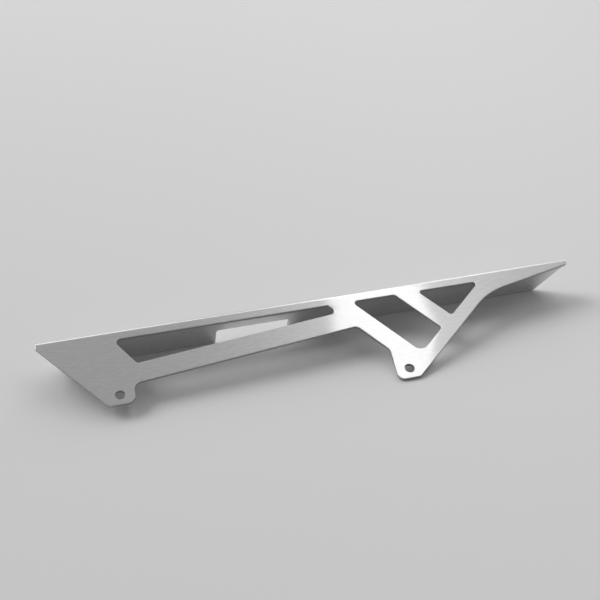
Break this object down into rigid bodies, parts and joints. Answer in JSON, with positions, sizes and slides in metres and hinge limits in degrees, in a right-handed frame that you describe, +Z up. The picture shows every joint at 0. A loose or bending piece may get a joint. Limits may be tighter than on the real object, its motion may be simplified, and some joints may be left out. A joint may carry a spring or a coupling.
{
  "type": "motorcycle chain guard",
  "caption": "Folded aluminium motorcycle chain guard: a tapering cut-out side panel with bolt tabs, and a notched top flange that covers the chain's upper run.",
  "frame": {"origin": "middle of the footprint, on the surface that the guard lies on", "axes": "+X along the fold from the front nose to the rear tip, +Z up; the panel falls from the fold towards -Y, and the flange stands on its free edge at +Y"},
  "size_m": [0.4, 0.0866, 0.0305],
  "materials": {
    "brushed_aluminium": "brushed lengthwise, clear, satin"
  },
  "bodies": {
    "root": {"chain_guard": "brushed_aluminium"}
  },
  "joints": []
}
